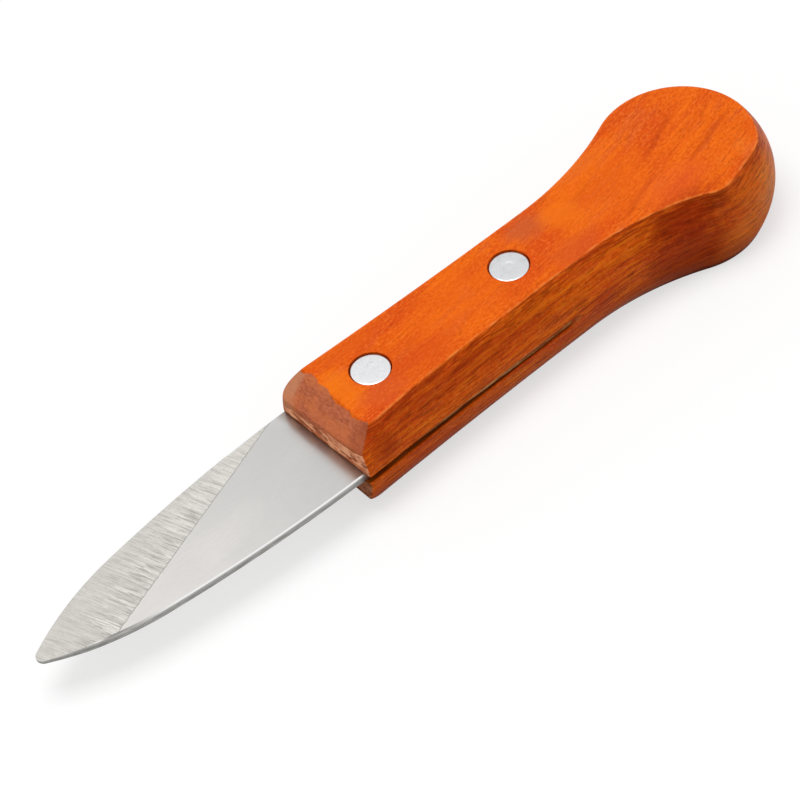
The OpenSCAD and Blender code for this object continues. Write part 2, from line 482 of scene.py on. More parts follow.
def store(obj, name, value):
    """Keeps value(x, y, z), of each point in millimetres, on the mesh for its material."""
    points = np.array([v.co for v in obj.data.vertices]) / MM
    layer = obj.data.attributes.new(name, "FLOAT", "POINT")
    layer.data.foreach_set("value", np.array([value(*p) for p in points], np.float32))


handle, crests = build_handle()
cut(handle, kerf_cutter(), *[rivet_hole_cutter(x) for x in RIVET_X.values()])


def arris_wear_and_highlight(x, y, z):
    """1 on the crest of a worn arris, fading over a fraction of a millimetre: where the wood is lighter
    with wear and a painted highlight.
    """
    gap = np.min(np.linalg.norm(crests - (x, y, z), axis=1))
    return bump(gap, 0, WEAR_AND_HIGHLIGHT_REACH)


store(handle, "wear", arris_wear_and_highlight)
shade(handle)


# Blade

# Steps round the nose, up to the point's end, along the side and tang and round the tang's corner
NOSE_STEPS = 10
POINT_STEPS = 64
SIDE_STEPS = 130
TANG_STEPS = 11
CORNER_STEPS = 8

# Steps across the flat and across the bevel, and the greatest angle that is shaded smooth
FLAT_STEPS = 8
BEVEL_STEPS = 10
BLADE_SHARP_ANGLE = 1.0


def blade_half():
    """Half of the blade and tang outline from the nose to the tang's end, rows of (x, half width).

    The point is one arc that touches the nose and the side without a corner.
    """
    half_w = BLADE_W / 2
    centre = np.array([FRONT_X, half_w - SIDE_R])
    meet = math.asin((BLADE_LEN - POINT_LEN) / SIDE_R)
    along = np.array([-math.sin(meet), math.cos(meet)])
    joint = centre + SIDE_R * along
    nose = np.array([TIP_X + NOSE_R, 0])
    gap = joint - nose
    point_r = (gap @ gap - NOSE_R**2) / (2 * (gap @ along - NOSE_R))
    point_centre = joint - point_r * along
    nose_angle = math.atan2(*(nose - point_centre)[::-1])

    def arc(c, r, a0, a1, steps):
        return [(c[0] + r * math.cos(a), c[1] + r * math.sin(a)) for a in np.linspace(a0, a1, steps + 1)]

    corner = (TANG_END_X - TANG_CORNER_R, half_w - TANG_CORNER_R)
    right = math.pi / 2
    return np.array(
        arc(nose, NOSE_R, math.pi, nose_angle, NOSE_STEPS)
        + arc(point_centre, point_r, nose_angle, right + meet, POINT_STEPS)[1:]
        + arc(centre, SIDE_R, right + meet, right, SIDE_STEPS)[1:]
        + [(x, half_w) for x in np.linspace(FRONT_X, corner[0], TANG_STEPS + 1)[1:-1]]
        + arc(corner, TANG_CORNER_R, right, 0, CORNER_STEPS)
    )


def side_half_w(s):
    """Half width of the blade at a distance s behind the tip, along the long side curve."""
    return BLADE_W / 2 - SIDE_R + math.sqrt(SIDE_R**2 - (BLADE_LEN - s) ** 2)


# The bevel line, from the heel of the ground edge to where it meets the other edge
HEEL = np.array([FRONT_X - BEVEL_HEEL, side_half_w(BLADE_LEN - BEVEL_HEEL)])
CROSS = np.array([TIP_X + BEVEL_CROSS, -side_half_w(BEVEL_CROSS)])
BEVEL_WAY = (CROSS - HEEL) / np.linalg.norm(CROSS - HEEL)
BEVEL_ACROSS = np.array([BEVEL_WAY[1], -BEVEL_WAY[0]])


def bevel_line_y(x):
    """The bevel line, with the small ragged steps that hand grinding leaves."""
    y = HEEL[1] + (x - HEEL[0]) * BEVEL_WAY[1] / BEVEL_WAY[0]
    for waves, place, height in BEVEL_RAGS:
        y += height * noise.noise(Vector((x * waves, place, 0)))
    return y


def past_bevel_line(x, y):
    """How far a point lies past the ragged bevel line, towards the ground edge."""
    line = np.array([x, bevel_line_y(x)])
    return float((np.array([x, y]) - line) @ BEVEL_ACROSS)


def half_thickness(x, y, tilt, top):
    """Half thickness of the blade at a point, at most top, thinning past the bevel line."""
    return min(top, BLADE_T / 2 - tilt * max(past_bevel_line(x, y), 0))


def blade_ring(inner, outer, tilt):
    """One cross-section of the blade: its upper side between both edges, then its lower side."""
    xi, yi = inner
    xo, yo = outer
    line_y = min(max(bevel_line_y(xi), -yi), yi) if xi < HEEL[0] else yi
    flat = np.linspace(-yi, line_y, FLAT_STEPS + 1)
    bevel = np.linspace(line_y, yi, BEVEL_STEPS + 1)[1:]
    cap = [(xi, y, half_thickness(xi, y, tilt, BLADE_T / 2)) for y in (*flat, *bevel)]
    edge_top = BLADE_T / 2 - EDGE_CHAMFER
    edges = [(xo, y, half_thickness(xo, y, tilt, edge_top)) for y in (-yo, yo)]
    loop = [edges[0], *cap, edges[1]]
    upper = [(x, y, MID_Z + z) for x, y, z in loop]
    lower = [(x, y, MID_Z - z) for x, y, z in reversed(loop)]
    return upper + lower


def build_blade():
    """The blade with its tang, before the rivet holes."""
    half = blade_half()
    way = np.gradient(half, axis=0)
    way[0] = (0, 1)
    across = np.stack([way[:, 1], -way[:, 0]], axis=1) / np.linalg.norm(way, axis=1)[:, None]
    inner = half + EDGE_CHAMFER * across
    outer_points = np.concatenate([half, half * [1, -1]])
    reach = ((outer_points - HEEL) @ BEVEL_ACROSS).max()
    tilt = (BLADE_T - EDGE_T) / 2 / reach

    points = []
    rows = []
    for inner_point, outer_point in zip(inner, half):
        ring = blade_ring(inner_point, outer_point, tilt)
        rows.append(list(range(len(points), len(points) + len(ring))))
        points += ring
    faces = []
    width = len(rows[0])
    for a, b in zip(rows, rows[1:]):
        faces += [(a[k], a[(k + 1) % width], b[(k + 1) % width], b[k]) for k in range(width)]

    # Only the tang's end is capped: the row at the tip has no width
    end = rows[-1]
    for k in range(width // 2 - 1):
        faces.append((end[k], end[k + 1], end[width - 2 - k], end[width - 1 - k]))
    obj = new_object("steel_blade", points, faces)
    tidy_mesh(obj, merge=0.001)
    return obj


def tang_hole_cutter(x):
    """A plain hole through the tang."""
    r = SOCKET_R + TANG_GAP
    below = MID_Z - BLADE_T
    above = MID_Z + BLADE_T
    profile = [(0, below), (r, below), (r, above), (0, above)]
    return lathe("tang_hole_cutter", profile, x)


blade = build_blade()
cut(blade, *[tang_hole_cutter(x) for x in RIVET_X.values()])
store(blade, "past", lambda x, y, z: past_bevel_line(x, y))
shade(blade, BLADE_SHARP_ANGLE)


# Rivets

RIM_STEPS = 5

# The ring that the punch mark presses, as shares of its radius and depth
MARK_RING = [(0, 0.4), (0.6, 0.4), (0.85, 1), (1, 0.8), (1.15, 0)]


def head_profile(top, down, mark_depth=0):
    """Profile of a rivet head from its axis over the rim to its underside.

    down is -1 for the upper head and 1 for the lower one.
    """
    def at(r, depth):
        return (r, top + down * depth)

    profile = [at(0, 0)]
    if mark_depth:
        profile = [at(MARK_R * r, mark_depth * depth) for r, depth in MARK_RING]
    flat_r = HEAD_R - RIM_ROUND
    profile.append(at(flat_r * CROWN_BREAK[0], CROWN * CROWN_BREAK[1]))
    for a in np.linspace(0, math.pi / 2, RIM_STEPS + 1):
        r = flat_r + RIM_ROUND * math.sin(a)
        profile.append(at(r, CROWN + (RIM_ROUND - CROWN) * (1 - math.cos(a))))
    profile.append(at(HEAD_R, HEAD_T))
    return profile


def post_profile(mark_depth):
    """The solid half, with the upper head and an eased end."""
    return head_profile(HEAD_TOP, -1, mark_depth) + [
        (POST_R, HEAD_TOP - HEAD_T),
        (POST_R, POST_END + POST_EASE),
        (POST_R - POST_EASE, POST_END),
        (0, POST_END),
    ]


def socket_profile():
    """The hollow half, with the lower head."""
    return head_profile(HEAD_RECESS, 1) + [
        (SOCKET_R, HEAD_RECESS + HEAD_T),
        (SOCKET_R, SOCKET_END),
        (POST_R, SOCKET_END),
        (POST_R, HEAD_RECESS + HEAD_T),
        (0, HEAD_RECESS + HEAD_T),
    ]


rivets = {}
for name, x in RIVET_X.items():
    rivets[name + "_rivet_post"] = lathe(name + "_post_turned", post_profile(MARK_DEPTH[name]), x)
    rivets[name + "_rivet_socket"] = lathe(name + "_socket_turned", socket_profile(), x)
for piece in rivets.values():
    shade(piece)


# Materials

class Shader:
    """The nodes of a material or a world, written as expressions."""

    def __init__(self, owner):
        self.owner = owner
        owner.use_nodes = True
        self.tree = owner.node_tree
        self.tree.nodes.clear()

    def node(self, kind, inputs=None, **settings):
        """A new node, with each of its inputs fed."""
        made = self.tree.nodes.new(kind)
        for key, value in settings.items():
            setattr(made, key, value)
        for key, value in (inputs or {}).items():
            self.feed(made.inputs[key], value)
        return made

    def feed(self, socket, value):
        """Links another node's output to the socket, or writes a constant on it."""
        if isinstance(value, bpy.types.NodeSocket):
            self.tree.links.new(value, socket)
        else:
            socket.default_value = value

    def math(self, operation, a, b=0.0):
        return self.node("ShaderNodeMath", {0: a, 1: b}, operation=operation).outputs[0]

    def add(self, *terms):
        total = terms[0]
        for term in terms[1:]:
            total = self.math("ADD", total, term)
        return total

    def times(self, *factors):
        total = factors[0]
        for factor in factors[1:]:
            total = self.math("MULTIPLY", total, factor)
        return total

    def sway(self, noise_value, size):
        """Noise turned into a shift to both sides."""
        return self.times(self.add(noise_value, -0.5), size)

    def vector(self, operation, a, b=(0, 0, 0)):
        made = self.node("ShaderNodeVectorMath", {0: a, 1: b}, operation=operation)
        return made.outputs["Value" if operation == "LENGTH" else "Vector"]

    def combine(self, x, y, z):
        return self.node("ShaderNodeCombineXYZ", {0: x, 1: y, 2: z}).outputs[0]

    def noise(self, vector, stretch, detail=2.0, roughness=0.5):
        """Noise whose grain is 1/stretch millimetres in each direction."""
        inputs = {
            "Vector": self.vector("MULTIPLY", vector, stretch),
            "Scale": 1.0,
            "Detail": detail,
            "Roughness": roughness,
        }
        return self.node("ShaderNodeTexNoise", inputs).outputs[0]

    def step(self, value, low, high, to_low=0.0, to_high=1.0):
        """Smooth step of value from low to high."""
        inputs = {0: value, 1: low, 2: high, 3: to_low, 4: to_high}
        return self.node("ShaderNodeMapRange", inputs, interpolation_type="SMOOTHSTEP").outputs[0]

    def mix(self, factor, a, b):
        """Colour a, or b where the factor is 1. Sockets 6, 7 and 2 are the node's colours."""
        return self.node("ShaderNodeMix", {0: factor, 6: a, 7: b}, data_type="RGBA").outputs[2]

    def place_mm(self):
        """Position in the part's frame, in millimetres, and its three coordinates."""
        coordinates = self.node("ShaderNodeTexCoord").outputs["Object"]
        place = self.vector("MULTIPLY", coordinates, (1 / MM, 1 / MM, 1 / MM))
        split = self.node("ShaderNodeSeparateXYZ", {0: place})
        return place, *split.outputs

    def normal_up(self):
        """How much the surface faces up or down, from 0 to 1."""
        normal = self.node("ShaderNodeNewGeometry").outputs["True Normal"]
        return self.math("ABSOLUTE", self.node("ShaderNodeSeparateXYZ", {0: normal}).outputs[2])

    def attribute(self, name):
        return self.node("ShaderNodeAttribute", attribute_name=name).outputs["Fac"]

    def finish(self, colour, roughness, height, bump_mm, more):
        """Ends a material in one glossy surface, with a fine relief and more of its own inputs."""
        bumps = {"Height": height, "Distance": bump_mm * MM, "Strength": 1.0}
        normal = self.node("ShaderNodeBump", bumps).outputs[0]
        inputs = {"Base Color": colour, "Roughness": roughness, "Normal": normal, **more}
        surface = self.node("ShaderNodeBsdfPrincipled", inputs)
        self.node("ShaderNodeOutputMaterial", {0: surface.outputs[0]})
        return self.owner


def srgb(r, g, b):
    """A colour as it should look, from 0 to 255, as the shader's linear colour."""
    def linear(c):
        c /= 255
        return c / 12.92 if c <= 0.04045 else ((c + 0.055) / 1.055) ** 2.4

    return (linear(r), linear(g), linear(b), 1.0)


# Where the looks of the wood change, in millimetres, each from no effect to the full one
CREASE_Z = (THICK - 3.0, THICK - 0.8)
# Painted shade on the lower side walls, darkest at their foot by the floor
SHADED_LOW_SIDE_Z = (6.5, 2.0)
SHADED_LOW_SIDE_X = (72, 60)
SHADED_FOOT_Z = (1.8, 0.5)
FRONT_WALL_X = (FRONT_X + 0.3, FRONT_X + 0.1)
WORN_AND_HIGHLIT_X = (FRONT_X + 3, FRONT_X + 7)
PALE_CORNER_Y = (6.5, 9.0)
DARK_CORNER_Y = (-5.5, -9.0)

# The torn strip under the front facet: its height above the steel, which grows towards the near
# side, and the painted shade along the lip next to the steel
STRIP_H = 3.0
STRIP_SLOPE = -0.13
LIP_SHADE_H = (0.9, 0.5)

# Painted shade on the walls of the saw kerf, from its lips inwards, and painted light where the kerf
# closes
KERF_SHADE_DEPTH = (0.25, 0.6)
KERF_SHADE_X = (TANG_END_X + 0.4, TANG_END_X - 2.0)
KERF_LIGHT_DEPTH = (0.05, 0.2)
KERF_LIGHT_X = (TANG_END_X - 1.6, TANG_END_X)

# How far the surface faces up, from 0 to 1, where the side walls and the front facets begin
SIDE_UP = (0.85, 0.6)
FACET_UP = (0.45, 0.55)

# Blotches of the stain, and one painted sheen at the butt: centre and radii in millimetres, colour and
# strength
STAIN_AND_SHEEN_BLOTCHES = [
    ((-13.5, 0.5, 18.2), (3.2, 5, 3), (254, 128, 20), 0.65),
    ((-9, -5.5, 18.2), (5, 3, 3), (222, 94, 44), 0.5),
    ((-7, 7, 18), (9, 2.5, 3), (222, 84, 20), 0.45),
    ((1, -4, 18), (7, 5, 3), (222, 84, 20), 0.4),
    ((32, 4.5, 18.2), (4.5, 3, 3), (208, 96, 50), 0.7),
    ((34, -5.5, 18.2), (5.5, 3, 3), (220, 88, 34), 0.6),
    ((14, 0, 18.2), (13, 7, 3), (246, 108, 16), 0.4),
    ((46, 2, 18.2), (12, 8, 3), (248, 112, 16), 0.4),
    ((53, -13, 7), (9.5, 6, 8), (156, 40, 4), 0.75),
    ((53.5, -12, 15), (9.5, 4, 4), (150, 28, 0), 0.75),
    ((70, -10, 9), (8, 7, 8), (255, 150, 58), 0.8),
    ((63, -15, 4.5), (5, 4, 5), (255, 140, 56), 0.5),
    ((38, 2.2, 18.2), (4, 4, 3), (255, 124, 20), 0.6),
    # A painted sheen: the pale reflection on the rounded end of the butt, laid on as colour
    ((79, -1, 12), (2, 7, 5), (246, 172, 138), 0.6),
    ((47, 9, 18.2), (8, 2.5, 3), (246, 120, 40), 0.4),
    ((56, -7, 18.2), (8, 4, 3), (240, 100, 40), 0.4),
    ((3, -10, 15), (26, 3, 2.2), (170, 56, 8), 0.4),
    ((-15, -10, 13), (3, 3, 3), (160, 50, 10), 0.6),
]

# Dark lines of figure across the bulb: middle, slope and half length
FIGURE_LINES = [
    ((62, 3.3), 0.44, 7),
    ((67.4, -3.5), 0.32, 9),
    ((41, 2.5), 0.3, 8),
    ((50, -5), 0.36, 6),
]


def wood_grain(s, x, y, z):
    """Place along and across the fibres, for the faces and, without their slant, for the sides.

    The fibres lie 3 degrees off the axis at the front and about 14 degrees at the bulb.
    """
    slant = s.add(s.times(x, 0.10), s.times(x, x, 0.0011))
    v = s.math("SUBTRACT", y, slant)
    return s.combine(x, v, z), s.combine(x, s.times(y, 0.2), z)


def face_colour(s, grain, pores, speckle):
    """Orange stain that lies unevenly over close, short fibres."""
    patches = s.noise(grain, (0.05, 0.16, 0.16), 3.0)
    fibres = s.noise(grain, (0.12, 1.1, 1.1), 4.0, 0.65)
    tinge = s.noise(grain, (0.09, 0.3, 0.3), 3.0, 0.6)
    colour = s.mix(s.step(patches, 0.36, 0.62), srgb(229, 84, 18), srgb(250, 112, 14))
    colour = s.mix(s.step(tinge, 0.54, 0.66, 0.0, 0.5), colour, srgb(226, 100, 46))
    colour = s.mix(s.step(fibres, 0.38, 0.6, 0.35, 0.0), colour, srgb(214, 74, 10))
    colour = s.mix(s.step(speckle, 0.38, 0.48, 0.5, 0.0), colour, srgb(200, 66, 12))
    colour = s.mix(s.step(speckle, 0.52, 0.62, 0.0, 0.5), colour, srgb(255, 132, 50))
    return s.mix(s.step(pores, 0.57, 0.7, 0.0, 0.32), colour, srgb(140, 40, 4))


def figured(s, x, y, edge_noise, colour):
    """Adds the dark lines of figure."""
    for (cx, cy), slope, half_length in FIGURE_LINES:
        off = s.add(y, s.times(s.add(x, -cx), -slope), s.sway(edge_noise, 1.6), -cy)
        across = s.step(s.math("ABSOLUTE", off), 1.0, 0.1)
        along = s.step(s.math("ABSOLUTE", s.add(x, -cx)), half_length, half_length * 0.5)
        colour = s.mix(s.times(across, along, 0.4), colour, srgb(186, 56, 6))
    return colour


def striped_side(s, place, x, z, stripes_place, stripes, edge_noise, side, colour):
    """Growth layers lie nearly flat, so the sides show them as fine, broken stripes.

    The stain's blotches and the painted sheen at the butt lie between the golden stripes and the dark
    ones.
    """
    broad = s.noise(stripes_place, (0.03, 0.35, 0.5), 3.0, 0.6)
    hair = s.noise(stripes_place, (0.3, 3.0, 3.6), 3.0, 0.65)
    colour = s.mix(s.times(side, s.step(broad, 0.5, 0.36, 0.0, 0.3)), colour, srgb(160, 50, 6))
    colour = s.mix(s.times(side, s.step(stripes, 0.52, 0.62, 0.0, 0.55)), colour, srgb(250, 132, 20))
    colour = blotched(s, place, edge_noise, colour)
    colour = s.mix(s.times(side, s.step(stripes, 0.5, 0.38, 0.0, 0.4)), colour, srgb(128, 40, 6))
    colour = s.mix(s.times(side, s.step(hair, 0.45, 0.36, 0.0, 0.55)), colour, srgb(100, 32, 6))
    colour = s.mix(s.times(side, s.step(hair, 0.53, 0.66, 0.0, 0.25)), colour, srgb(236, 92, 24))
    under_crease = s.times(s.step(z, *CREASE_Z), s.step(hair, 0.6, 0.45, 0.1, 0.6))
    colour = s.mix(s.times(side, under_crease), colour, srgb(150, 46, 4))
    # Painted shade: the lower side walls grow darker towards the floor
    low_side_shade = s.times(side, s.step(z, *SHADED_LOW_SIDE_Z, 0.0, 0.5), s.step(x, *SHADED_LOW_SIDE_X))
    colour = s.mix(low_side_shade, colour, srgb(140, 60, 28))
    # Painted shade at the foot of the side walls, next to the floor
    return s.mix(s.times(side, s.step(z, *SHADED_FOOT_Z, 0.0, 0.7)), colour, srgb(60, 24, 10))


def blotched(s, place, edge_noise, colour):
    """Adds the blotches of the stain and the painted sheen at the butt, with ragged edges."""
    for centre, radii, tint, strength in STAIN_AND_SHEEN_BLOTCHES:
        away = s.vector("SUBTRACT", place, centre)
        reach = s.vector("LENGTH", s.vector("DIVIDE", away, radii))
        reach = s.add(reach, s.times(edge_noise, 1.2), -0.6)
        colour = s.mix(s.step(reach, 1.35, 0.35, 0.0, strength), colour, srgb(*tint))
    return colour


def from_mid(s, z):
    """Distance above or below mid-thickness."""
    return s.math("ABSOLUTE", s.add(z, -MID_Z))


def end_grain(s, place, across):
    """Matt brown end grain, paler at the far corner of the facet and darker at the near one."""
    fibre_ends = s.noise(place, (1.5, 1.1, 3.0), 4.0, 0.7)
    broad = s.noise(place, (0.3, 0.25, 0.5), 2.0)
    facet = s.mix(s.step(fibre_ends, 0.35, 0.65), srgb(172, 90, 60), srgb(204, 116, 80))
    facet = s.mix(s.step(broad, 0.4, 0.65, 0.0, 0.5), facet, srgb(216, 120, 70))
    facet = s.mix(s.step(across, *PALE_CORNER_Y, 0.0, 0.6), facet, srgb(210, 148, 112))
    return s.mix(s.step(across, *DARK_CORNER_Y, 0.0, 0.5), facet, srgb(158, 78, 50))


def torn_strip(s, place, y, z, ragged, facet):
    """Torn, salmon wood under the facet, in a strip that widens towards the near side, with painted
    shade along the steel and below it.
    """
    torn = s.noise(place, (0.8, 0.35, 0.9), 3.0, 0.6)
    chips = s.noise(place, (0.8, 0.32, 0.8), 2.0, 0.5)
    strip = s.mix(s.step(torn, 0.4, 0.58), srgb(204, 116, 76), srgb(255, 180, 136))
    strip = s.mix(s.step(chips, 0.45, 0.4, 0.0, 0.75), strip, srgb(146, 72, 40))
    top = s.add(s.times(y, STRIP_SLOPE), s.times(ragged, 0.6), BLADE_T / 2 + STRIP_H)
    strip = s.mix(s.step(s.math("SUBTRACT", from_mid(s, z), top), -0.1, 0.1), strip, facet)
    above_steel = s.add(from_mid(s, z), s.times(torn, 0.6), -BLADE_T / 2)
    # Painted shade: a dark line along the lip where the wood meets the steel
    strip = s.mix(s.step(above_steel, *LIP_SHADE_H, 0.0, 0.85), strip, srgb(96, 48, 26))
    # Painted shade on the front below the steel, where the blade shadows it
    return s.mix(s.step(z, MID_Z, MID_Z - 1.0, 0.0, 0.6), strip, srgb(110, 50, 26))


def front_end(s, place, x, y, z, up, colour):
    """Adds the end grain of the ground facets and of the front under them, and says where it is."""
    back = s.add(
        s.times(s.add(x, -FRONT_X - FACET_BACK), math.cos(FACET_SKEW)),
        s.times(y, -math.sin(FACET_SKEW)),
    )
    slow = s.sway(s.noise(place, (0.1, 0.35, 0.2), 1.0), 2.4)
    quick = s.sway(s.noise(place, (0.7, 1.1, 1.0), 4.0, 0.6), 0.8)
    ragged = s.add(slow, quick)
    facet_z = s.add(s.times(back, math.tan(FACET_SLOPE)), MID_Z)
    on_facet = s.times(
        s.step(s.add(back, ragged), 0.1, -0.15),
        s.step(s.math("SUBTRACT", facet_z, from_mid(s, z)), 0.5, 0.25),
        s.step(up, *FACET_UP),
    )
    at_front = s.times(s.step(x, *FRONT_WALL_X), s.step(up, *reversed(FACET_UP)))

    facet = end_grain(s, place, s.add(y, slow, ragged))
    colour = s.mix(on_facet, colour, facet)
    colour = s.mix(at_front, colour, torn_strip(s, place, y, z, ragged, facet))
    return colour, s.math("MAXIMUM", on_facet, at_front)


def kerf_shade_and_light(s, x, y, z, stripes, colour):
    """Paints shade on the walls of the saw kerf behind their lips, and paints light on them where it
    closes.
    """
    half_height = from_mid(s, z)
    to_neck = s.times(s.add(x, -FRONT_X - MID_FORM["neck"]), 1 / MID_FORM["neck"])
    flare = (MID_FORM["w_front"] - MID_FORM["w_neck"]) / 2
    half_width = s.add(s.times(to_neck, to_neck, flare), MID_FORM["w_neck"] / 2)
    depth = s.math("SUBTRACT", half_width, s.math("ABSOLUTE", y))
    in_kerf = s.times(
        s.step(half_height, BLADE_T / 2 + 0.05, BLADE_T / 2),
        s.step(depth, *KERF_SHADE_DEPTH),
        s.step(x, *KERF_SHADE_X),
    )
    # The painted shade in the kerf, brown and striped like the wood
    stain = s.mix(s.step(stripes, 0.4, 0.6), srgb(124, 58, 12), srgb(160, 82, 26))
    colour = s.mix(in_kerf, colour, stain)
    # Painted light where the kerf closes, lifting the shade at its end
    at_end = s.times(
        s.step(half_height, BLADE_T / 2 + 0.02, BLADE_T / 2 - 0.02),
        s.step(x, *KERF_LIGHT_X),
        s.step(depth, *KERF_LIGHT_DEPTH),
    )
    return s.mix(at_end, colour, srgb(252, 154, 84))


def wood_material():
    """Orange-stained hardwood."""
    s = Shader(bpy.data.materials.new("stained_wood"))
    place, x, y, z = s.place_mm()
    up = s.normal_up()
    side = s.step(up, *SIDE_UP)
    grain, stripes_place = wood_grain(s, x, y, z)
    edge_noise = s.noise(place, (0.35, 0.5, 0.5), 4.0, 0.65)
    pores = s.noise(grain, (0.4, 3.6, 3.6), 2.0, 0.6)
    speckle = s.noise(grain, (1.3, 2.2, 2.2), 4.0, 0.7)
    stripes = s.noise(stripes_place, (0.09, 1.3, 1.7), 4.0, 0.65)

    colour = face_colour(s, grain, pores, speckle)
    colour = figured(s, x, y, edge_noise, colour)
    colour = striped_side(s, place, x, z, stripes_place, stripes, edge_noise, side, colour)
    colour, bare = front_end(s, place, x, y, z, up, colour)

    # Worn arrises behind the facets are a little lighter, partly from wear and partly as a painted
    # highlight on their rounded crests
    wear = s.times(s.step(s.attribute("wear"), 0.4, 0.95), s.step(edge_noise, 0.42, 0.62, 0.1, 0.75))
    wear = s.times(wear, s.step(x, *WORN_AND_HIGHLIT_X))
    colour = s.mix(wear, colour, srgb(252, 142, 66))
    # Painted shade inside the saw kerf, and painted light where it closes
    colour = kerf_shade_and_light(s, x, y, z, stripes, colour)

    height = s.add(s.times(stripes, 0.3), s.times(pores, -0.5), s.times(speckle, 0.3))
    roughness = s.step(bare, 0.0, 1.0, 0.45, 0.8)
    gloss = {"Specular IOR Level": s.step(z, 5, 12, 0.012, 0.1), "Specular Tint": srgb(255, 190, 150)}
    return s.finish(colour, roughness, height, bump_mm=0.14, more=gloss)


# Direction of the grinding lines, and where the looks of the steel change, in millimetres
GRIND_ANGLE = math.radians(-75)
BRIGHT_FLAT_X = (FRONT_X, TIP_X + 12)
SHADE_AND_REFLECTION_X = (FRONT_X - 1.2, FRONT_X + 0.8)
COARSE_X = (-24, -52)
DULL_TIP_X = (-30, TIP_X)
BRIGHT_CHAMFER_X = (TIP_X + 10, TIP_X + 24)
STAINED_X = (FRONT_X - 0.1, FRONT_X + 0.6)
DEEP_PAST_LINE = (9.0, 1.0)
LINE_HALF_W = (0.28, 0.06)

# How far the steel faces up, from 0 to 1, on its sheared edge, and on the chamfer beside it
EDGE_UP = (0.35, 0.2)
BELOW_FLAT_UP = (0.996, 0.985)
ABOVE_EDGE_UP = (0.5, 0.6)


def smooth_flat(s, place, x, fine):
    """Smooth steel, with painted light that brightens it towards the tip, and a painted band of shade
    and of the wood's reflection along the handle.
    """
    smear = s.noise(place, (0.05, 0.12, 0.5), 3.0)
    # Painted light: the flat's reflection brightens from the handle towards the tip
    flat = s.mix(s.step(x, *BRIGHT_FLAT_X), srgb(200, 199, 197), srgb(226, 221, 217))
    flat = s.mix(s.step(smear, 0.35, 0.65, 0.25, 0.0), flat, srgb(186, 187, 186))
    flat = s.mix(s.step(fine, 0.4, 0.65, 0.12, 0.0), flat, srgb(180, 180, 180))
    # Painted shade and a painted reflection of the wood, in a brownish band along the handle
    shade_and_reflection = s.step(s.add(x, s.times(smear, 2.0)), *SHADE_AND_REFLECTION_X, 0.0, 0.7)
    return s.mix(shade_and_reflection, flat, srgb(142, 124, 116))


def ground_bevel(s, place, x, y, past):
    """Coarse grinding lines across the bevel, deepest at the bevel line. Gives colour and height."""
    along = s.add(s.times(x, math.cos(GRIND_ANGLE)), s.times(y, math.sin(GRIND_ANGLE)))
    across = s.add(s.times(x, -math.sin(GRIND_ANGLE)), s.times(y, math.cos(GRIND_ANGLE)))
    stroke = s.combine(across, along, 0.0)
    coarse = s.noise(stroke, (1.5, 0.1, 1.0), 2.0, 0.5)
    lines = s.noise(stroke, (3.6, 0.22, 1.0), 3.0, 0.6)
    grit = s.noise(place, (3.0, 3.0, 1.0), 2.0, 0.6)
    cloud = s.noise(place, (0.2, 0.25, 0.2), 2.0)
    depth = s.times(s.step(past, *DEEP_PAST_LINE, 0.25, 1.0), s.step(x, *COARSE_X, 0.35, 1.2))
    colour = s.mix(s.step(cloud, 0.35, 0.65), srgb(202, 199, 194), srgb(210, 207, 201))
    colour = s.mix(s.step(x, *DULL_TIP_X, 0.0, 0.4), colour, srgb(186, 183, 177))
    colour = s.mix(s.times(s.step(coarse, 0.5, 0.38), depth, 0.25), colour, srgb(150, 148, 143))
    colour = s.mix(s.times(s.step(coarse, 0.54, 0.64), depth, 0.32), colour, srgb(238, 236, 231))
    colour = s.mix(s.times(s.step(lines, 0.48, 0.4), depth, 0.55), colour, srgb(146, 143, 138))
    colour = s.mix(s.step(lines, 0.5, 0.4, 0.0, 0.18), colour, srgb(160, 158, 153))
    colour = s.mix(s.step(grit, 0.45, 0.36, 0.0, 0.3), colour, srgb(164, 161, 155))
    line = s.step(s.math("ABSOLUTE", past), *LINE_HALF_W)
    ticks = s.step(lines, 0.42, 0.6, 0.45, 0.95)
    colour = s.mix(s.times(line, ticks), colour, srgb(132, 129, 125))
    return colour, s.add(coarse, lines)


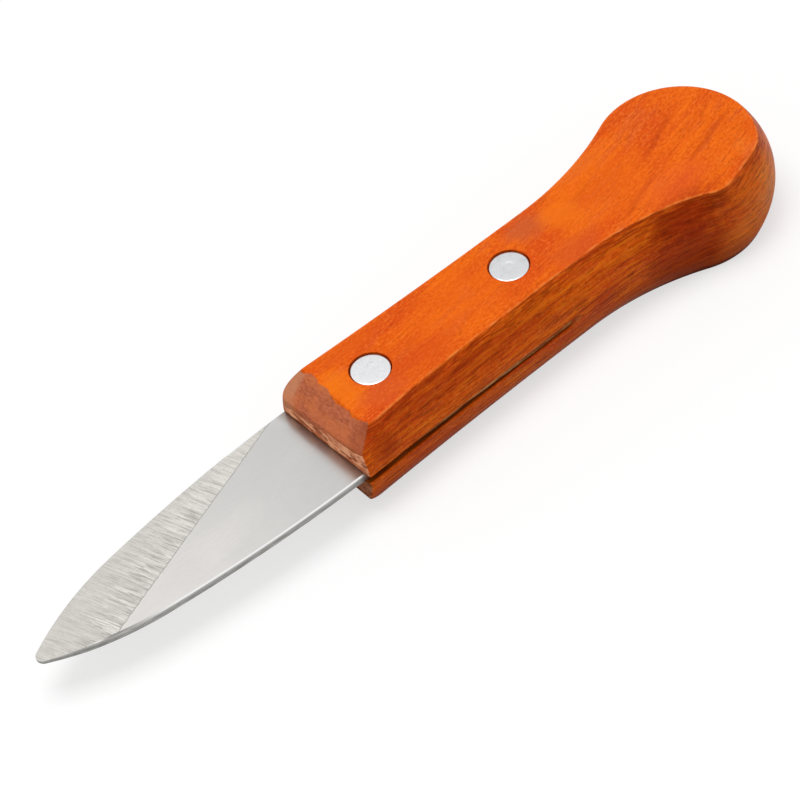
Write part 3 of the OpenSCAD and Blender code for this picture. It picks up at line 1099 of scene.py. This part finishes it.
def steel_material():
    """Smooth steel with a ground bevel, sheared edges and a stained tang."""
    s = Shader(bpy.data.materials.new("ground_steel"))
    place, x, y, z = s.place_mm()
    up = s.normal_up()

    past = s.attribute("past")
    fine = s.noise(place, (0.5, 4.0, 4.0), 3.0)
    bevel, scratches = ground_bevel(s, place, x, y, past)
    colour = s.mix(s.step(past, 0.0, 0.04), smooth_flat(s, place, x, fine), bevel)

    # The sheared edge is dull with painted shade, darkest below mid-thickness; its chamfer has a painted
    # highlight that dims near the tip, and the tang is stained
    edge = s.step(up, *EDGE_UP)
    edge_noise = s.noise(place, (0.25, 1.0, 2.5), 3.0, 0.7)
    # Painted shade on the sheared edge, darkest below mid-thickness and lighter above it
    edge_colour = s.mix(s.step(edge_noise, 0.35, 0.65), srgb(132, 131, 128), srgb(168, 167, 164))
    edge_colour = s.mix(s.step(z, MID_Z, MID_Z + 0.7, 0.0, 0.6), edge_colour, srgb(206, 205, 202))
    colour = s.mix(edge, colour, edge_colour)
    chamfer = s.times(s.step(up, *BELOW_FLAT_UP), s.step(up, *ABOVE_EDGE_UP))
    # Painted highlight on the chamfer, dimmed near the tip where the highlight fades
    chamfer_colour = s.mix(s.step(x, *BRIGHT_CHAMFER_X), srgb(136, 134, 131), srgb(238, 238, 238))
    colour = s.mix(chamfer, colour, chamfer_colour)
    inside = s.step(x, *STAINED_X)
    stain = s.noise(place, (0.12, 0.4, 3.0), 3.0, 0.6)
    stain_colour = s.mix(s.step(stain, 0.45, 0.62), srgb(140, 76, 34), srgb(198, 158, 108))
    colour = s.mix(inside, colour, stain_colour)

    height = s.add(s.times(fine, 0.15), s.times(s.step(past, 0.0, 0.1), scratches))
    roughness = s.add(s.step(past, 0.0, 0.05, 0.3, 0.4), s.times(edge, 0.15), s.times(inside, 0.2))
    return s.finish(colour, roughness, height, bump_mm=0.012, more={"Metallic": 1.0})


# How far a rivet head faces up, from 0 to 1, where the painted highlight on its rim begins
RIM_UP = (0.97, 0.85)


def rivet_material():
    """Bright, lightly scratched aluminium."""
    s = Shader(bpy.data.materials.new("turned_aluminium"))
    place, x, _, _ = s.place_mm()
    fine = s.noise(place, (5.0, 1.2, 1.0), 3.0, 0.6)
    dents = s.noise(place, (0.6, 0.6, 0.6), 3.0, 0.6)
    colour = s.mix(s.step(fine, 0.35, 0.65), srgb(217, 218, 220), srgb(229, 229, 230))
    colour = s.mix(s.step(dents, 0.44, 0.32, 0.0, 0.5), colour, srgb(196, 199, 203))
    colour = s.mix(s.step(x, 0, RIVET_X["rear"], 0.0, 0.4), colour, srgb(190, 193, 196))
    # Painted highlight on the rounded rim of the head
    colour = s.mix(s.step(s.normal_up(), *RIM_UP), colour, srgb(236, 236, 236))
    height = s.add(s.times(fine, 0.2), dents)
    return s.finish(colour, 0.3, height, bump_mm=0.015, more={"Metallic": 1.0})


def dress(obj, material, node):
    """Gives a piece its material and the place of its CAD node."""
    obj.data.materials.clear()
    obj.data.materials.append(material)
    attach(obj, "root")
    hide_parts(node)


rivet_finish = rivet_material()
dress(handle, wood_material(), "handle")
dress(blade, steel_material(), "blade")
for node, piece in rivets.items():
    dress(piece, rivet_finish, node)


# Stage

WHITE = (1, 1, 1, 1)
FLOOR_HALF = 1.5
FLOOR_GREY = 0.42
FLOOR_LIGHT = 0.62
WORLD_LIGHT = 0.5
LAMP_PLACE = (-0.1, 0.05, 0.9)
LAMP_TARGET = (0, 0, 0)
LAMP_SIZE = 0.5
LAMP_WATTS = 4


def seen_directly(s):
    """1 for what the camera, a mirror or glass sees, and 0 for light on the object."""
    path = s.node("ShaderNodeLightPath").outputs
    seen = s.math("MAXIMUM", path["Is Camera Ray"], path["Is Glossy Ray"])
    return s.math("MAXIMUM", seen, path["Is Transmission Ray"])


def floor_material():
    """A pale floor that takes the shadow and is lit up to white where it is seen."""
    s = Shader(bpy.data.materials.new("pale_floor"))
    grey = (FLOOR_GREY, FLOOR_GREY, FLOOR_GREY, 1)
    diffuse = s.node("ShaderNodeBsdfDiffuse", {"Color": grey})
    strength = s.times(seen_directly(s), FLOOR_LIGHT)
    glow = s.node("ShaderNodeEmission", {"Color": WHITE, "Strength": strength})
    both = s.node("ShaderNodeAddShader", {0: diffuse.outputs[0], 1: glow.outputs[0]})
    s.node("ShaderNodeOutputMaterial", {0: both.outputs[0]})
    return s.owner


def build_floor():
    """One square at z = 0."""
    h = FLOOR_HALF
    mesh = bpy.data.meshes.new("floor")
    mesh.from_pydata([(-h, -h, 0), (h, -h, 0), (h, h, 0), (-h, h, 0)], [], [(0, 1, 2, 3)])
    mesh.materials.append(floor_material())
    floor = placed("floor", mesh)


def build_world():
    """Soft light from all round, and plain white where it is seen."""
    world = bpy.data.worlds.new("studio")
    bpy.context.scene.world = world
    s = Shader(world)
    light = s.node("ShaderNodeBackground", {"Color": WHITE, "Strength": WORLD_LIGHT})
    white = s.node("ShaderNodeBackground", {"Color": WHITE, "Strength": 1.0})
    both = s.node("ShaderNodeMixShader", {0: seen_directly(s), 1: light.outputs[0], 2: white.outputs[0]})
    s.node("ShaderNodeOutputWorld", {0: both.outputs[0]})


def add_softbox():
    """The one lamp, a square softbox over the knife."""
    data = bpy.data.lights.new("overhead", "AREA")
    data.shape = "SQUARE"
    data.size = LAMP_SIZE
    data.energy = LAMP_WATTS
    lamp = placed("overhead", data)
    lamp.location = LAMP_PLACE
    lamp.rotation_mode = "QUATERNION"
    lamp.rotation_quaternion = (Vector(LAMP_TARGET) - Vector(LAMP_PLACE)).to_track_quat("-Z", "Y")


# The photograph's camera, found from its outlines: metres, with the lens and the sensor in millimetres
CAMERA_AZIMUTH = math.radians(-32.219)
CAMERA_ELEVATION = math.radians(46.977)
CAMERA_ROLL = math.radians(-12.193)
CAMERA_DISTANCE = 0.59709
CAMERA_TARGET = Vector((0.000518, 0.005287, 0))
CAMERA_LENS = 157.5
CAMERA_SENSOR = 36
CAMERA_CLIP = (0.01, 20)


def build_camera():
    """A camera that looks at its target from the photograph's side."""
    a = CAMERA_AZIMUTH
    e = CAMERA_ELEVATION
    roll = CAMERA_ROLL
    look = Vector((-math.sin(a) * math.cos(e), math.cos(a) * math.cos(e), -math.sin(e)))
    right = Vector((math.cos(a), math.sin(a), 0))
    up = right.cross(look)
    right, up = (
        math.cos(roll) * right + math.sin(roll) * up,
        -math.sin(roll) * right + math.cos(roll) * up,
    )
    data = bpy.data.cameras.new("camera")
    data.sensor_width = CAMERA_SENSOR
    data.lens = CAMERA_LENS
    data.clip_start, data.clip_end = CAMERA_CLIP
    camera = placed("camera", data)
    axes = Matrix((right, up, -look)).transposed().to_4x4()
    camera.matrix_world = Matrix.Translation(CAMERA_TARGET - look * CAMERA_DISTANCE) @ axes
    bpy.context.scene.camera = camera


build_floor()
build_world()
add_softbox()
build_camera()

bpy.context.scene.view_settings.view_transform = "Standard"
